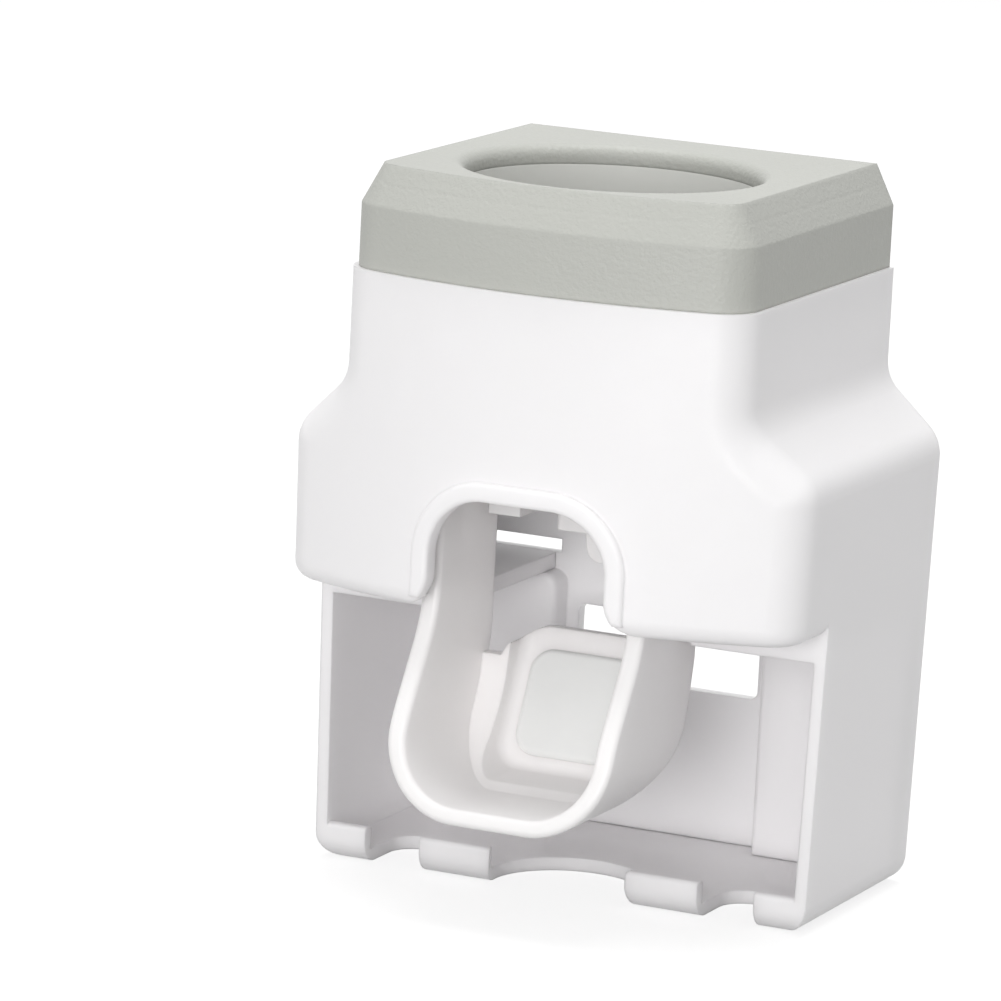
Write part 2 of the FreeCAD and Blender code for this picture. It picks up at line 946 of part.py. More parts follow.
def screw(name, x, z):
    head = cone(f"{name}_head", head_radius, screw_radius, head_depth, x, 0, z, "-Y")
    shank = cylinder(f"{name}_shank", screw_radius, screw_length, x, 0, z, "-Y")
    return fuse(name, head, shank)


def screw_group(name, spots):
    return group(name, *[screw(f"{name}_{i}", x, z) for i, (x, z) in enumerate(spots)])


def collar_form(name, inset, low, height, back):
    # Neck outline with rounded front corners, set in by one size all round.
    body = new_body(name)
    plan = bowed_plan(
        body, f"{name}_plan", neck_half - inset, depth - inset, bow_radius - inset, back, low
    )
    pad(body, plan, height)
    fillet(
        body,
        f"{name}_corners",
        edge_round - as_size(inset) * 0.5,
        lambda e: runs_along(e, "Z") and e.CenterOfMass.y < -lower_depth.value,
    )
    return body


def collar():
    outer = collar_form("collar_outer", collar_step, neck_top, collar_height, 0)
    base = outer.Tip
    slope = outer.newObject("PartDesign::Chamfer", "collar_slope")
    slope.Base = (
        base,
        edge_names(
            base.Shape, lambda e: flat_at(e, "Z", collar_top) and not flat_at(e, "Y", 0)
        ),
    )
    slope.ChamferType = "Two distances"
    bind(slope, "Size", slope_height)
    bind(slope, "Size2", slope_inset)
    doc.recompute()
    top_width = slope.Shape.section(
        Part.makePlane(300, 300, Vector(-150, -150, collar_top.value - 0.01))
    ).BoundBox.XLength
    if top_width > 2 * (neck_half - collar_step - slope_inset).value + 0.5:
        slope.FlipDirection = True
        doc.recompute()
    inside = collar_form(
        "collar_inside",
        collar_step + collar_wall,
        neck_top - margin,
        collar_height - collar_roof + margin,
        -collar_wall,
    )
    spigot_inset = wall + plate_gap
    skirt = collar_form(
        "collar_skirt",
        spigot_inset,
        neck_top - spigot_height,
        spigot_height + margin,
        -(plate_thick + plate_gap * 2),
    )
    skirt_inside = collar_form(
        "collar_skirt_inside",
        spigot_inset + spigot_wall,
        neck_top - spigot_height - margin,
        spigot_height + margin * 3,
        -(plate_thick + plate_gap * 2 + spigot_wall),
    )
    skirt_ring = cut("collar_skirt_ring", skirt, skirt_inside)
    hole = cylinder(
        "collar_hole", tube_radius, collar_height * 2, 0, -tube_back, neck_top
    )
    cap = cut("collar_cap", outer, inside, hole)
    whole = fuse("collar_whole", cap, skirt_ring)
    return soften(
        "collar",
        whole,
        lip_round,
        lambda e: isinstance(e.Curve, Part.Circle)
        and flat_at(e, "Z", collar_top)
        and close_to(e.Curve.Radius, tube_radius),
    )


def tube_sleeve():
    low = collar_top - collar_roof - sleeve_drop
    outer = cylinder(
        "sleeve_outer", tube_radius + sleeve_wall, sleeve_drop, 0, -tube_back, low
    )
    inner = cylinder(
        "sleeve_inner", tube_radius, sleeve_drop + margin * 2, 0, -tube_back, low - margin
    )
    return cut("tube_sleeve", outer, inner)


def lever_form(name, inset):
    # Cup and arms seen from the front, trimmed to their side view.
    inset = as_size(inset)
    body = new_body(name)
    top = pivot_height + pivot_boss
    low = cup_low + inset * (cup_floor / arm_thick)
    half = arm_outer - inset
    front = polygon(
        body,
        f"{name}_front",
        "XZ_Plane",
        [(-half, top), (-half, low), (half, low), (half, top)],
    )
    pad(body, front, rim_low_front + margin)
    fillet(
        body,
        f"{name}_cup_corners",
        cup_corner - inset,
        lambda e: runs_along(e, "Y") and close_to(e.CenterOfMass.z, low),
    )
    return body


def lever_side(name, inset):
    # Side view of the lever: raked rim in front, rounded heel behind.
    inset = as_size(inset)
    body = new_body(name)
    top = pivot_height + pivot_boss
    low = cup_low + inset * (cup_floor / arm_thick)
    reach = inset * 4
    side = polygon(
        body,
        f"{name}_side",
        "YZ_Plane",
        [
            (-(pivot_back + pivot_boss + reach), top),
            (-(pivot_back + pivot_boss + reach), pivot_height - pivot_boss),
            (-(arm_front + reach), window_top),
            (-(arm_front + reach), rim_high),
            (-(rim_mid_front + reach), cup_waist),
            (-(rim_low_front + reach), low),
            (-(heel_back + inset), low),
            (-(arm_back + inset), cup_edge + cup_edge_round),
            (-(arm_back + inset), window_top),
            (-(pivot_back - pivot_boss + inset), pivot_height - pivot_boss),
            (-(pivot_back - pivot_boss + inset), top),
        ],
    )
    pad(body, side, arm_outer * 4, symmetric=True)
    fillet(
        body,
        f"{name}_heel",
        cup_heel - inset,
        lambda e: runs_along(e, "X")
        and close_to(e.CenterOfMass.z, low)
        and close_to(e.CenterOfMass.y, -(heel_back + inset)),
    )
    fillet(
        body,
        f"{name}_rake",
        rake_round,
        lambda e: runs_along(e, "X")
        and (
            close_to(e.CenterOfMass.y, -(rim_mid_front + reach))
            or (
                close_to(e.CenterOfMass.y, -(arm_front + reach))
                and close_to(e.CenterOfMass.z, rim_high)
            )
        ),
    )
    fillet(
        body,
        f"{name}_head",
        pivot_boss * 0.9,
        lambda e: runs_along(e, "X") and close_to(e.CenterOfMass.z, top),
    )
    return body


def recess_depth(height):
    # Distance of the leaning recess floor from the wall at one height.
    lean = as_size(height) - recess_low
    slope = math.tan(math.radians(recess_lean.value))
    run = Size(lean.value * slope, f"({lean.text} * tan({recess_lean.text} * 1 deg))")
    return recess_back - run


def recess_block(name, grow, top, front):
    # Block behind the cup with a leaning rear face, grown by one size all round.
    grow = as_size(grow)
    half = recess_half + grow
    low = recess_low - grow
    body = new_body(name)
    side = polygon(
        body,
        f"{name}_side",
        "YZ_Plane",
        [
            (-front, low),
            (-(recess_depth(low) - grow), low),
            (-(recess_depth(top) - grow), top),
            (-front, top),
        ],
    )
    pad(body, side, half * 2, symmetric=True)
    fillet(
        body,
        f"{name}_foot",
        recess_round + grow,
        lambda e: runs_along(e, "Y") and close_to(e.CenterOfMass.z, low),
    )

    def on_rear(edge):
        # Edges of the leaning face, without the one across its top.
        ends = [edge.valueAt(p) for p in (edge.FirstParameter, edge.LastParameter)]
        rear = [recess_depth(s.z).value - grow.value for s in ends]
        return not flat_at(edge, "Z", top) and all(
            close_to(s.y, -r) for s, r in zip(ends, rear)
        )

    fillet(body, f"{name}_rear", recess_edge + grow, on_rear)
    return body


def crest_corner(word, side):
    # What is cut away to round one upper corner of the wall behind the recess.
    centre = recess_half + recess_wall - crest_round
    block = box(
        f"lever_crest_{word}_block",
        (centre, arm_inner) if side > 0 else (-arm_inner, -centre),
        (-arm_front, 0),
        (cup_edge, recess_top + margin),
    )
    rod = cylinder(
        f"lever_crest_{word}_rod",
        crest_round,
        arm_front + margin * 3,
        centre * side,
        margin * 2,
        recess_top - crest_round,
        "-Y",
    )
    return cut(f"lever_crest_{word}", block, rod)


def push_lever():
    outer = common("lever_outer", lever_form("lever_front_outer", 0), lever_side("lever_side_outer", 0))
    inner = common(
        "lever_inner",
        lever_form("lever_front_inner", arm_thick),
        lever_side("lever_side_inner", arm_thick * 0.7),
    )
    recess_outer = recess_block("lever_recess_outer", recess_wall, recess_top, heel_back + cup_heel)
    recess_inner = recess_block(
        "lever_recess_inner", 0, recess_top + margin * 3, heel_back + cup_heel
    )
    arch = new_body("lever_arch")
    arch_face = polygon(
        arch,
        "lever_arch_face",
        "XZ_Plane",
        [
            (-arm_inner, cup_edge),
            (arm_inner, cup_edge),
            (arm_inner, pivot_height + pivot_boss + margin),
            (-arm_inner, pivot_height + pivot_boss + margin),
        ],
    )
    pad(arch, arch_face, rim_low_front + margin)
    fillet(
        arch,
        "lever_arch_corners",
        cup_edge_round,
        lambda e: runs_along(e, "Y") and close_to(e.CenterOfMass.z, cup_edge),
    )
    arched = cut("lever_arched", outer, arch)
    shell = fuse("lever_shell", arched, recess_outer)
    crests = [crest_corner("right", 1), crest_corner("left", -1)]
    hollow = cut("lever_hollow", shell, inner, recess_inner, *crests)

    def on_rim(edge):
        # Edges round the raked mouth of the cup, without those that cross it.
        spot = edge.CenterOfMass
        crosses = runs_along(edge, "X") and edge.Length < arm_thick.value * 1.3
        low_front = spot.z < rim_high.value and spot.y < -arm_front.value * 0.98
        return low_front and not crosses and not runs_along(edge, "Y")

    rim = soften("lever_rim", hollow, arm_thick * 0.3, on_rim)
    holes = [
        cylinder(
            "lever_bush_hole",
            bush_radius,
            arm_outer * 2 + margin * 2,
            -(arm_outer + margin),
            -pivot_back,
            pivot_height,
            "X",
        ),
        cylinder(
            "lever_presser_hole",
            presser_stub,
            arm_outer * 2 + margin * 2,
            -(arm_outer + margin),
            -(presser_face + presser_thick / 2),
            press_height,
            "X",
        ),
    ]
    return cut("push_lever", rim, *holes)


def brush_pad():
    body = new_body("pad_body")
    face = polygon(
        body,
        "pad_face",
        "XZ_Plane",
        [
            (-pad_half, pad_lift),
            (pad_half, pad_lift),
            (pad_half, pad_lift + pad_height),
            (-pad_half, pad_lift + pad_height),
        ],
    )
    pad(body, face, pad_thick)
    fillet(body, "pad_corners", recess_round * 0.8, lambda e: runs_along(e, "Y"))
    fillet(
        body,
        "pad_edge",
        pad_thick * 0.5,
        lambda e: flat_at(e, "Y", -pad_thick),
    )
    place(body, 0, -recess_back, recess_low, Rotation(Vector(-1, 0, 0), recess_lean.value))
    bind(body, "Placement.Rotation.Angle", recess_lean)
    return body


def pivot_bush(name, side):
    start = arm_inner * side
    end = (arm_outer + bush_lip) * side
    low = start if side > 0 else end
    barrel = cylinder(
        f"{name}_barrel", bush_radius, arm_thick + bush_lip, low, -pivot_back, pivot_height, "X"
    )
    lip = cylinder(
        f"{name}_lip",
        bush_flange,
        bush_lip,
        arm_outer if side > 0 else end,
        -pivot_back,
        pivot_height,
        "X",
    )
    bore = cylinder(
        f"{name}_bore",
        axle_radius + run_gap,
        arm_thick * 3,
        low - margin,
        -pivot_back,
        pivot_height,
        "X",
    )
    return cut(name, fuse(f"{name}_solid", barrel, lip), bore)


def axle_half():
    return arm_outer + bush_lip + side_gap + ear_thick + retainer_thick + axle_end


def lever_axle():
    half = axle_half()
    return cylinder("lever_axle", axle_radius, half * 2, -half, -pivot_back, pivot_height, "X")


def axle_retainers():
    start = arm_outer + bush_lip + side_gap + ear_thick
    rings = []
    for side, word in ((1, "right"), (-1, "left")):
        low = start if side > 0 else -(start + retainer_thick)
        disc = cylinder(
            f"retainer_{word}_disc",
            retainer_radius,
            retainer_thick,
            low,
            -pivot_back,
            pivot_height,
            "X",
        )
        bore = cylinder(
            f"retainer_{word}_bore",
            axle_radius,
            retainer_thick + margin * 2,
            low - margin,
            -pivot_back,
            pivot_height,
            "X",
        )
        rings.append(cut(f"retainer_{word}", disc, bore))
    return group("axle_retainers", *rings)


def biarc(start, start_way, end, end_way):
    # Two arcs that leave start and reach end along the given unit directions.
    span = end - start
    ways = start_way + end_way
    a = 2 * (1 - start_way.dot(end_way))
    b = 2 * span.dot(ways)
    c = -span.dot(span)
    reach = -c / b if abs(a) < 1e-9 else (-b + math.sqrt(b * b - 4 * a * c)) / (2 * a)
    knee_a = start + start_way * reach
    knee_b = end - end_way * reach
    middle = (knee_a + knee_b) * 0.5
    return [
        arc_from(start, start_way, middle),
        arc_from(middle, (knee_b - knee_a).normalize(), end),
    ]


def arc_from(start, way, end):
    # Arc that leaves start along a direction and ends at a point.
    chord = end - start
    normal = way.cross(chord).cross(way).normalize()
    radius = chord.dot(chord) / (2 * chord.dot(normal))
    centre = start + normal * radius
    middle = (start + end) * 0.5 - centre
    return Part.Arc(start, centre + middle.normalize() * abs(radius), end).toShape()


def return_spring():
    # One wire: a leg up to the housing stop, the coil, a leg back over the presser bar.
    radius = coil_radius.value
    pitch = coil_pitch.value
    turns = int(coil_turns.value)
    leg = spring_leg.value
    begin = -(arm_inner - spring_offset).value + wire.value
    quarter = math.pi / 2

    def spot(turn):
        angle = turn * 4 * quarter
        return Vector(begin + pitch * turn, -radius * math.cos(angle), -radius * math.sin(angle))

    def way(turn):
        angle = turn * 4 * quarter
        rise = pitch / (4 * quarter)
        return Vector(rise, radius * math.sin(angle), -radius * math.cos(angle)).normalize()

    last = turns + 0.25
    edges = [Part.LineSegment(spot(0) - way(0) * leg, spot(0)).toShape()]
    steps = int(last * 4)
    for i in range(steps):
        edges += biarc(spot(i / 4), way(i / 4), spot((i + 1) / 4), way((i + 1) / 4))
    edges.append(Part.LineSegment(spot(last), spot(last) + way(last) * leg).toShape())
    path = Part.Wire(edges)
    section = Part.Wire(
        Part.Circle(path.Edges[0].valueAt(path.Edges[0].FirstParameter), way(0), wire.value / 2).toShape()
    )
    tube = path.makePipeShell([section], True, False)
    spring = doc.addObject("Part::Feature", "return_spring")
    spring.Shape = tube
    place(spring, 0, -pivot_back, pivot_height)
    points = [spot(i / 24) for i in range(int(last * 24) + 1)]
    gap = min(
        (points[i] - points[j]).Length
        for i in range(len(points))
        for j in range(i + 12, len(points))
    )
    print(f"return_spring least gap to itself {gap - wire.value:.2f} mm")
    expected = math.pi * (wire.value / 2) ** 2 * path.Length
    print(f"return_spring volume {tube.Volume:.1f} of {expected:.1f} mm3")
    return spring


def presser_bar():
    front = presser_face + presser_thick
    bar = box(
        "presser_block",
        (-arm_inner, arm_inner),
        (-front, -presser_face),
        (presser_low, presser_top),
    )
    soft = soften("presser_soft", bar, presser_thick * 0.3, lambda e: runs_along(e, "X"))
    stubs = cylinder(
        "presser_stubs",
        presser_stub,
        arm_outer * 2,
        -arm_outer,
        -(presser_face + presser_thick / 2),
        press_height,
        "X",
    )
    tip = cylinder(
        "presser_tip",
        presser_tip,
        presser_thick / 2 + presser_reach,
        0,
        -(presser_face - presser_reach),
        press_height,
        "-Y",
    )
    return fuse("presser_bar", soft, stubs, tip)


def pump_body():
    block = box(
        "pump_block",
        (-pump_half, pump_half),
        (-pump_front, -pump_rear),
        (pump_low, pump_low + pump_height),
    )
    soft = soften("pump_soft", block, pump_round, lambda e: runs_along(e, "Z") or runs_along(e, "Y"))
    chamber = cylinder(
        "pump_chamber",
        chamber_radius,
        chamber_length,
        0,
        -(pump_front - chamber_length),
        press_height,
        "-Y",
    )
    top = pump_low + pump_height
    socket = cylinder("pump_socket", plug_foot, plug_depth + margin, 0, -tube_back, top - plug_depth)
    flap_seat = cylinder(
        "pump_flap_seat",
        flap_radius + fit_gap,
        flap_thick + margin,
        0,
        -tube_back,
        top - plug_depth - flap_thick,
    )
    inlet = cylinder(
        "pump_inlet", channel_radius, top - press_height, 0, -tube_back, press_height
    )
    outlet = cylinder(
        "pump_outlet", channel_radius, press_height - pump_low + margin, 0, -outlet_back, pump_low - margin
    )
    return cut("pump_body", soft, chamber, socket, flap_seat, inlet, outlet)


def revolve(name, profile, y, z, axis):
    # Closed profile of (radius, height) pairs, turned about its own axis.
    body = new_body(name)
    sketch = polygon(body, f"{name}_profile", "XZ_Plane", profile)
    turn = body.newObject("PartDesign::Revolution", f"{name}_turn")
    turn.Profile = sketch
    turn.ReferenceAxis = (sketch, ["V_Axis"])
    turn.Angle = 360
    doc.recompute()
    place(body, 0, y, z, TURN[axis])
    return body


def pump_diaphragm():
    reach = film + dome_height
    return revolve(
        "pump_diaphragm",
        [
            (0, reach - film),
            (dome_radius * 0.45, reach - film),
            (dome_radius - film, film),
            (dome_radius - film, 0),
            (film_flange, 0),
            (film_flange, film),
            (dome_radius, film),
            (dome_radius * 0.55, reach),
            (0, reach),
        ],
        -pump_front,
        press_height,
        "-Y",
    )


def diaphragm_ring():
    outer = box(
        "ring_block",
        (-ring_half, ring_half),
        (-(pump_front + film + ring_thick), -pump_front),
        (pump_low + margin, pump_low + pump_height - margin),
    )
    soft = soften("ring_soft", outer, pump_round, lambda e: runs_along(e, "Y"))
    seat = cylinder(
        "ring_seat", film_flange + fit_gap, film + margin, 0, -(pump_front - margin), press_height, "-Y"
    )
    hole = cylinder(
        "ring_hole", dome_radius + fit_gap, film * 4, 0, -(pump_front - margin), press_height, "-Y"
    )
    return cut("diaphragm_ring", soft, seat, hole)


def inlet_plug():
    return revolve(
        "inlet_plug",
        [
            (channel_radius, 0),
            (plug_foot, 0),
            (plug_foot, plug_depth),
            (plug_flange, plug_depth),
            (plug_flange, plug_depth + plug_height),
            (plug_mouth + film, plug_depth + plug_height),
            (plug_mouth, plug_depth + plug_height - film),
            (plug_mouth - film, plug_depth * 0.5),
            (channel_radius, plug_depth * 0.3),
        ],
        -tube_back,
        pump_low + pump_height - plug_depth,
        "Z",
    )


def inlet_valve():
    disc = cylinder(
        "valve_disc",
        flap_radius,
        flap_thick,
        0,
        -tube_back,
        pump_low + pump_height - plug_depth - flap_thick,
    )
    slit = box(
        "valve_slit",
        (-channel_radius * 0.9, channel_radius * 0.9),
        (-(tube_back + fit_gap), -(tube_back - fit_gap)),
        (pump_low, pump_low + pump_height),
    )
    return cut("inlet_valve", disc, slit)


def outlet_spout():
    block = box(
        "spout_block_form",
        (-spout_half, spout_half),
        (-(outlet_back + spout_deep), -(outlet_back - spout_deep)),
        (pump_low - spout_block, pump_low),
    )
    soft = soften("spout_soft", block, pump_round * 0.5, lambda e: runs_along(e, "Z"))
    tongue_body = new_body("spout_tongue")
    face = polygon(
        tongue_body,
        "spout_tongue_face",
        "XZ_Plane",
        [
            (-tongue_half * 1.15, pump_low - spout_block + margin),
            (-tongue_half * 0.9, pump_low - spout_block - tongue_drop),
            (tongue_half * 0.9, pump_low - spout_block - tongue_drop),
            (tongue_half * 1.15, pump_low - spout_block + margin),
        ],
        outlet_back - spout_deep,
    )
    pad(tongue_body, face, tongue_thick)
    fillet(
        tongue_body,
        "spout_tongue_tip",
        tongue_half * 0.82,
        lambda e: runs_along(e, "Y")
        and close_to(e.CenterOfMass.z, pump_low - spout_block - tongue_drop),
    )
    bore = cylinder(
        "spout_bore_form",
        spout_bore,
        spout_block + margin * 2,
        0,
        -outlet_back,
        pump_low - spout_block - margin,
    )
    seat = cylinder(
        "spout_seat",
        spout_bore + film,
        film + margin,
        0,
        -outlet_back,
        pump_low - film,
    )
    return cut("outlet_spout", fuse("spout_solid", soft, tongue_body), bore, seat)


def outlet_valve():
    # Duckbill: a flange under the pump and a tapering beak.
    return revolve(
        "outlet_valve",
        [
            (channel_radius * 0.9, 0),
            (spout_bore + film, 0),
            (spout_bore + film, -film),
            (spout_bore - fit_gap, -film),
            (beak_tip, -beak_length),
            (beak_tip * 0.4, -beak_length),
            (channel_radius * 0.75, -film),
        ],
        -outlet_back,
        pump_low,
        "Z",
    )


def pump_cradle():
    rail_top = pump_low
    rear = pump_rear - slide_gap
    pieces = [
        box(
            "cradle_back",
            (-(rail_outer + guide_wall / 2), rail_outer + guide_wall / 2),
            (-rear, -(rear - cradle_wall)),
            (rail_top - rail_height, pump_low + pump_height + margin * 2),
        )
    ]
    for side, word in ((1, "right"), (-1, "left")):
        near = rail_inner * side
        far = rail_outer * side
        wall_near = (pump_half + slide_gap) * side
        wall_far = (pump_half + slide_gap + guide_wall) * side
        span = (near, far) if side > 0 else (far, near)
        fence = (wall_near, wall_far) if side > 0 else (wall_far, wall_near)
        pieces.append(
            box(
                f"cradle_rail_{word}",
                span,
                (-(pump_front + rail_reach), -(rear - cradle_wall / 2)),
                (rail_top - rail_height, rail_top),
            )
        )
        pieces.append(
            box(
                f"cradle_guide_{word}",
                fence,
                (-pump_front, -(rear - cradle_wall / 2)),
                (rail_top - rail_height / 2, rail_top + guide_height),
            )
        )
    for i, (x, z) in enumerate(post_spots()):
        pieces.append(
            cylinder(
                f"cradle_post_{i}",
                post_radius,
                rear - cradle_wall / 2 - plate_thick,
                x,
                -plate_thick,
                z,
                "-Y",
            )
        )
    pilots = [
        cylinder(f"cradle_pilot_{i}", screw_radius, screw_length, x, 0, z, "-Y")
        for i, (x, z) in enumerate(post_spots())
    ]
    return cut("pump_cradle", fuse("cradle_solid", *pieces), *pilots)


def check_and_write():
    doc.recompute()
    faults = [o.Name for o in doc.Objects if {"Invalid", "Error"} & set(o.State)]
    for name, obj in subparts:
        shape = obj.Shape
        if shape.isNull() or not shape.isValid() or not shape.Solids:
            faults.append(name)
    if faults:
        raise RuntimeError(f"failed objects: {faults}")
    os.makedirs("parts", exist_ok=True)
    for name, obj in subparts:
        obj.Shape.exportStep(f"parts/{name}.step")
        volume = obj.Shape.Volume / 1000
        print(f"{name}: {len(obj.Shape.Solids)} solid(s), {volume:.2f} cm3")


doc.recompute()
finish(main_housing(), "main_housing")
finish(back_plate(), "back_plate")
finish(screw_group("back_plate_screws", screw_spots()), "back_plate_screws")
finish(collar(), "collar")
finish(tube_sleeve(), "tube_sleeve")
finish(push_lever(), "push_lever")
finish(brush_pad(), "brush_pad")
finish(pivot_bush("pivot_bush_left", -1), "pivot_bush_left")
finish(pivot_bush("pivot_bush_right", 1), "pivot_bush_right")
finish(lever_axle(), "lever_axle")
finish(axle_retainers(), "axle_retainers")
finish(return_spring(), "return_spring")
finish(presser_bar(), "presser_bar")
finish(pump_cradle(), "pump_cradle")
finish(screw_group("cradle_screws", post_spots()), "cradle_screws")
finish(pump_body(), "pump_body")
finish(pump_diaphragm(), "pump_diaphragm")
finish(diaphragm_ring(), "diaphragm_ring")
finish(inlet_plug(), "inlet_plug")
finish(inlet_valve(), "inlet_valve")
finish(outlet_spout(), "outlet_spout")
finish(outlet_valve(), "outlet_valve")
check_and_write()
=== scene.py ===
import bpy, bmesh, json, math
from mathutils import Matrix, Vector


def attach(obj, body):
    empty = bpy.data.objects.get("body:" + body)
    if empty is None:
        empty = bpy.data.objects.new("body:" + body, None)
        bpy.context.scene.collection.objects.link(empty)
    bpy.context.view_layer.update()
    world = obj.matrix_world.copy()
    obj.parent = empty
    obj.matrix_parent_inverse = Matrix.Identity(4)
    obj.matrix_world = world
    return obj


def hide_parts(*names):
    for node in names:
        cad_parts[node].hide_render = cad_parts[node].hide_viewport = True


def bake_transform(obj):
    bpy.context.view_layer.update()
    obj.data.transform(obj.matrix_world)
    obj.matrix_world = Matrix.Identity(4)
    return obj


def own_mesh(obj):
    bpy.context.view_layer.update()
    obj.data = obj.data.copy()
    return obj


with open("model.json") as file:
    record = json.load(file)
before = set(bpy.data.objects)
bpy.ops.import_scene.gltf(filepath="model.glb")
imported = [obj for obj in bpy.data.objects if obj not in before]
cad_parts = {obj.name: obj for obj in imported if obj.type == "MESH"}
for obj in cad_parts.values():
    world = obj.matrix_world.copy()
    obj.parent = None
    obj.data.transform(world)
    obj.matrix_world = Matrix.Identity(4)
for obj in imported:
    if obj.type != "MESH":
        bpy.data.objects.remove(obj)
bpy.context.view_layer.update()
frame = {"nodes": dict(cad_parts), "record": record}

nodes = frame["nodes"]
print("frame loaded:", len(nodes), "nodes")


# Materials

# how fine the noise is and how far the tone spreads, the same for all the plastics
mouldLook = dict(driftDetail=3.0, driftRough=0.5, toneSpan=(0.3, 0.7),
                 grainDetail=2.0, grainRough=0.55, roundSamples=6)
pureWhite = (1, 1, 1, 1)


def startMaterial(name):
    mat = bpy.data.materials.new(name)
    mat.use_nodes = True
    tree, links = mat.node_tree.nodes, mat.node_tree.links
    return mat, tree, links, tree["Principled BSDF"]


def addNode(tree, kind, **inputs):
    node = tree.new(kind)
    for key, value in inputs.items():
        node.inputs[key.replace("_", " ")].default_value = value
    return node


def addNoise(tree, links, vector, scale, detail, rough):
    noise = addNode(tree, "ShaderNodeTexNoise", Scale=scale, Detail=detail, Roughness=rough)
    links.new(vector, noise.inputs["Vector"])
    return noise.outputs["Fac"]


def addTone(tree, links, shader, noise, look, span):
    ramp = tree.new("ShaderNodeValToRGB")
    dark, light = ramp.color_ramp.elements
    dark.position, light.position = span
    dark.color = (*look["shade"], 1)
    light.color = (*look["colour"], 1)
    links.new(noise, ramp.inputs["Fac"])
    links.new(ramp.outputs["Color"], shader.inputs["Base Color"])


def addGloss(tree, links, shader, noise, low, high):
    gloss = addNode(tree, "ShaderNodeMapRange", To_Min=low, To_Max=high)
    links.new(noise, gloss.inputs["Value"])
    links.new(gloss.outputs["Result"], shader.inputs["Roughness"])


def mouldedPlastic(name, look):
    # faint tone drift, fine surface texture, roughness that varies a little
    mat, tree, links, shader = startMaterial(name)
    coord = tree.new("ShaderNodeTexCoord").outputs["Object"]
    drift = addNoise(tree, links, coord, look["driftScale"],
                     mouldLook["driftDetail"], mouldLook["driftRough"])
    addTone(tree, links, shader, drift, look, mouldLook["toneSpan"])
    grain = addNoise(tree, links, coord, look["grainScale"],
                     mouldLook["grainDetail"], mouldLook["grainRough"])
    addGloss(tree, links, shader, grain,
             look["roughness"] - look["roughSpread"], look["roughness"] + look["roughSpread"])
    bump = addNode(tree, "ShaderNodeBump",
                   Strength=look["grainStrength"], Distance=look["grainDepth"])
    links.new(grain, bump.inputs["Height"])
    # the mould leaves no knife edges
    rounding = addNode(tree, "ShaderNodeBevel", Radius=look["edgeRound"])
    rounding.samples = mouldLook["roundSamples"]
    links.new(rounding.outputs["Normal"], bump.inputs["Normal"])
    links.new(bump.outputs["Normal"], shader.inputs["Normal"])
    shader.inputs["Specular IOR Level"].default_value = look["specular"]
    if "softness" in look:  # light goes a little way into the plastic
        shader.inputs["Subsurface Weight"].default_value = look["softness"]
        shader.inputs["Subsurface Radius"].default_value = (1, 1, 1)
        shader.inputs["Subsurface Scale"].default_value = look["lightReach"]
    return mat


def drawnSteel(name, look):
    # bright steel with fine marks along the drawing direction
    mat, tree, links, shader = startMaterial(name)
    coord = tree.new("ShaderNodeTexCoord").outputs["Object"]
    stretch = addNode(tree, "ShaderNodeMapping", Scale=look["stretch"])
    links.new(coord, stretch.inputs["Vector"])
    marks = addNoise(tree, links, stretch.outputs["Vector"], look["markScale"],
                     look["markDetail"], look["markRough"])
    addGloss(tree, links, shader, marks, look["roughLow"], look["roughHigh"])
    addTone(tree, links, shader, marks, look, look["toneSpan"])
    shader.inputs["Metallic"].default_value = 1.0
    return mat


whiteLook = dict(colour=(0.95, 0.928, 0.942), shade=(0.938, 0.916, 0.93), driftScale=22.0,
                 grainScale=1500.0, grainStrength=0.05, grainDepth=0.0002, edgeRound=0.0005,
                 roughness=0.36, roughSpread=0.03, specular=0.45,
                 softness=0.55, lightReach=0.004)
# the lever is moulded in a slightly warmer white
leverLook = dict(whiteLook, colour=(0.95, 0.922, 0.918), shade=(0.938, 0.91, 0.906))
greyLook = dict(colour=(0.478, 0.484, 0.45), shade=(0.456, 0.462, 0.43), driftScale=26.0,
                grainScale=1300.0, grainStrength=0.4, grainDepth=0.0004, edgeRound=0.0009,
                roughness=0.5, roughSpread=0.08, specular=0.5)
paleLook = dict(colour=(0.76, 0.765, 0.73), shade=(0.735, 0.74, 0.705), driftScale=30.0,
                grainScale=1100.0, grainStrength=0.1, grainDepth=0.0002, edgeRound=0.0005,
                roughness=0.5, roughSpread=0.05, specular=0.4)
acetalLook = dict(colour=(0.84, 0.83, 0.83), shade=(0.81, 0.8, 0.8), driftScale=35.0,
                  grainScale=1400.0, grainStrength=0.05, grainDepth=0.0002, edgeRound=0.0004,
                  roughness=0.45, roughSpread=0.04, specular=0.45)
siliconeLook = dict(colour=(0.84, 0.85, 0.84), shade=(0.8, 0.81, 0.8), driftScale=60.0,
                    grainScale=900.0, grainStrength=0.08, grainDepth=0.0003, edgeRound=0.0003,
                    roughness=0.42, roughSpread=0.06, specular=0.4,
                    softness=0.15, lightReach=0.002)
steelLook = dict(colour=(0.56, 0.56, 0.57), shade=(0.44, 0.44, 0.45), toneSpan=(0.0, 1.0),
                 stretch=(0.1, 1.0, 1.0), markScale=1600.0, markDetail=4.0, markRough=0.6,
                 roughLow=0.2, roughHigh=0.34)

